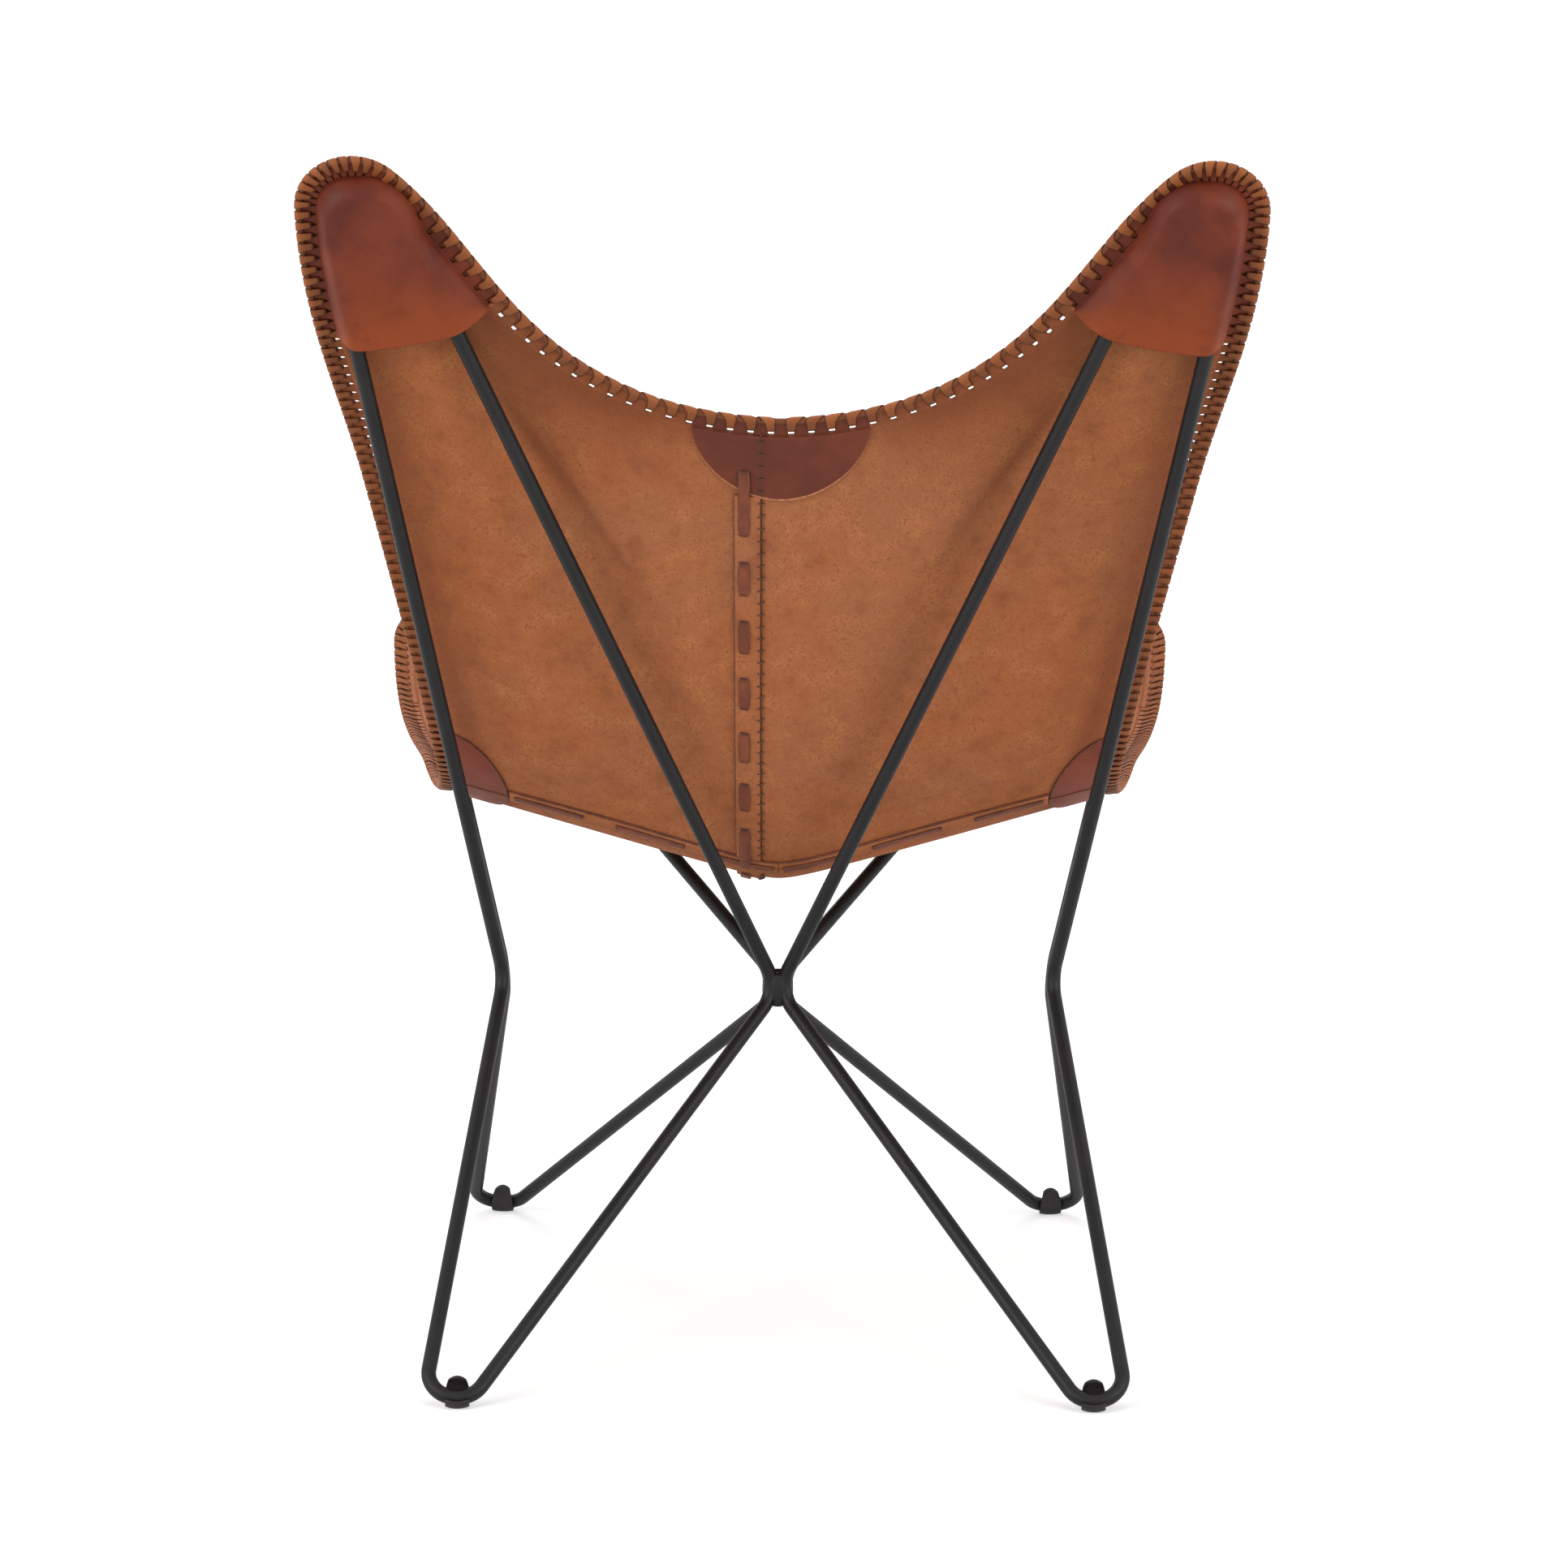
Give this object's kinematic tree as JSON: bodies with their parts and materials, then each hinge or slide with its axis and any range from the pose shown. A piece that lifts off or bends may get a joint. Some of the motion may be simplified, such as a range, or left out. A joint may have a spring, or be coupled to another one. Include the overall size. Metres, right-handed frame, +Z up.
{
  "type": "butterfly sling chair",
  "caption": "Low lounge chair: tan leather sling with laced rim and corner pockets hung on a black frame of bent steel rod loops.",
  "frame": {"origin": "on the floor, below the middle of the chair's width and depth", "axes": "+Z up; the sitter faces -Y; +X is at the sitter's left"},
  "size_m": [0.6607, 0.709, 0.8975],
  "materials": {
    "frame_coat": "satin black powder coat",
    "glide_plastic": "matt black moulded plastic",
    "suede": "tan flesh side with fine grain",
    "pocket_leather": "smooth waxed grain side, red brown",
    "lace_leather": "flat leather lace"
  },
  "bodies": {
    "root": {"rear_left_rod_loop": "frame_coat", "rear_right_rod_loop": "frame_coat", "front_left_rod_loop": "frame_coat", "front_right_rod_loop": "frame_coat", "hub_weld_rear": "frame_coat", "hub_weld_front": "frame_coat", "hub_weld_left": "frame_coat", "hub_weld_right": "frame_coat", "waist_weld_left": "frame_coat", "waist_weld_right": "frame_coat", "rear_left_floor_glide": "glide_plastic", "rear_right_floor_glide": "glide_plastic", "front_left_floor_glide": "glide_plastic", "front_right_floor_glide": "glide_plastic", "back_panel_left": "suede", "back_panel_right": "suede", "seat_panel_left": "suede", "seat_panel_right": "suede", "rear_pocket_left": "pocket_leather", "rear_pocket_right": "pocket_leather", "front_pocket_left": "pocket_leather", "front_pocket_right": "pocket_leather", "back_laced_rim_left": "lace_leather", "back_laced_rim_right": "lace_leather", "seat_laced_rim_left": "lace_leather", "seat_laced_rim_right": "lace_leather", "top_patch": "pocket_leather", "front_patch": "pocket_leather", "left_side_patch": "pocket_leather", "right_side_patch": "pocket_leather", "back_lap_strip": "suede", "seat_lap_strip": "suede", "back_seam_thong": "lace_leather", "seat_seam_thong": "lace_leather", "cross_strip_left": "suede", "cross_strip_right": "suede"}
  },
  "joints": []
}
